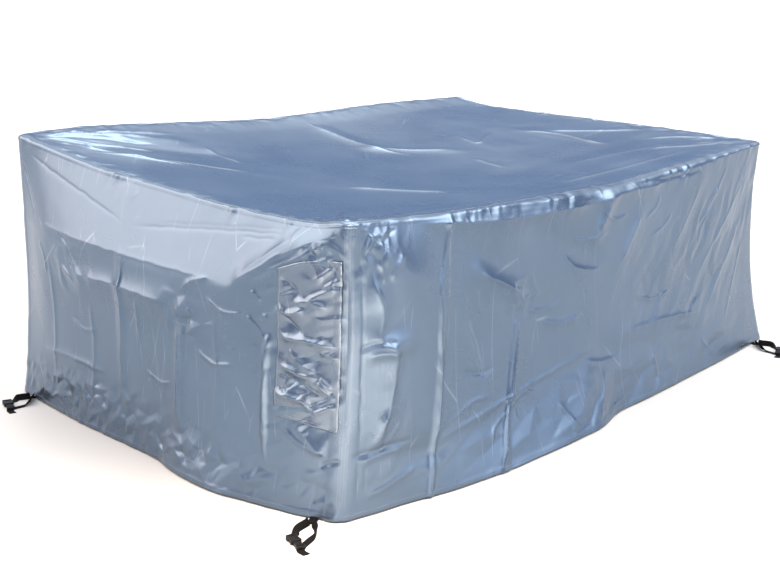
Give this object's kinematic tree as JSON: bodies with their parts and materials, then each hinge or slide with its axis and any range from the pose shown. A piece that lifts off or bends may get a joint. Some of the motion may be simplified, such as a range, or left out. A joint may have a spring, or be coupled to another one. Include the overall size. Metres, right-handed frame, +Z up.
{
  "type": "patio furniture cover",
  "caption": "Fitted box-shaped cover of coated cloth, hollow and open below, with a flared hem and buckled webbing loops at its corners.",
  "frame": {"origin": "on the floor below the middle of the cover's bounding box", "axes": "+X along the long side, +Y from the front wall to the back wall, +Z up"},
  "size_m": [2.4998, 1.7489, 0.8076],
  "materials": {
    "coated_cloth": "satin",
    "patch_cloth": "glossy",
    "webbing": "matte",
    "buckle": "satin"
  },
  "bodies": {
    "root": {"top_panel": "coated_cloth", "wall_front": "coated_cloth", "wall_right": "coated_cloth", "wall_back": "coated_cloth", "wall_left": "coated_cloth", "corner_patch": "patch_cloth", "strap_near_tab": "webbing", "strap_near_arm_a": "webbing", "strap_near_arm_b": "webbing", "strap_near_socket": "buckle", "strap_near_plug": "buckle", "strap_left_tab": "webbing", "strap_left_arm_a": "webbing", "strap_left_arm_b": "webbing", "strap_left_socket": "buckle", "strap_left_plug": "buckle", "strap_right_tab": "webbing", "strap_right_arm_a": "webbing", "strap_right_arm_b": "webbing", "strap_right_socket": "buckle", "strap_right_plug": "buckle", "strap_far_tab": "webbing", "strap_far_arm_a": "webbing", "strap_far_arm_b": "webbing", "strap_far_socket": "buckle", "strap_far_plug": "buckle"}
  },
  "joints": []
}
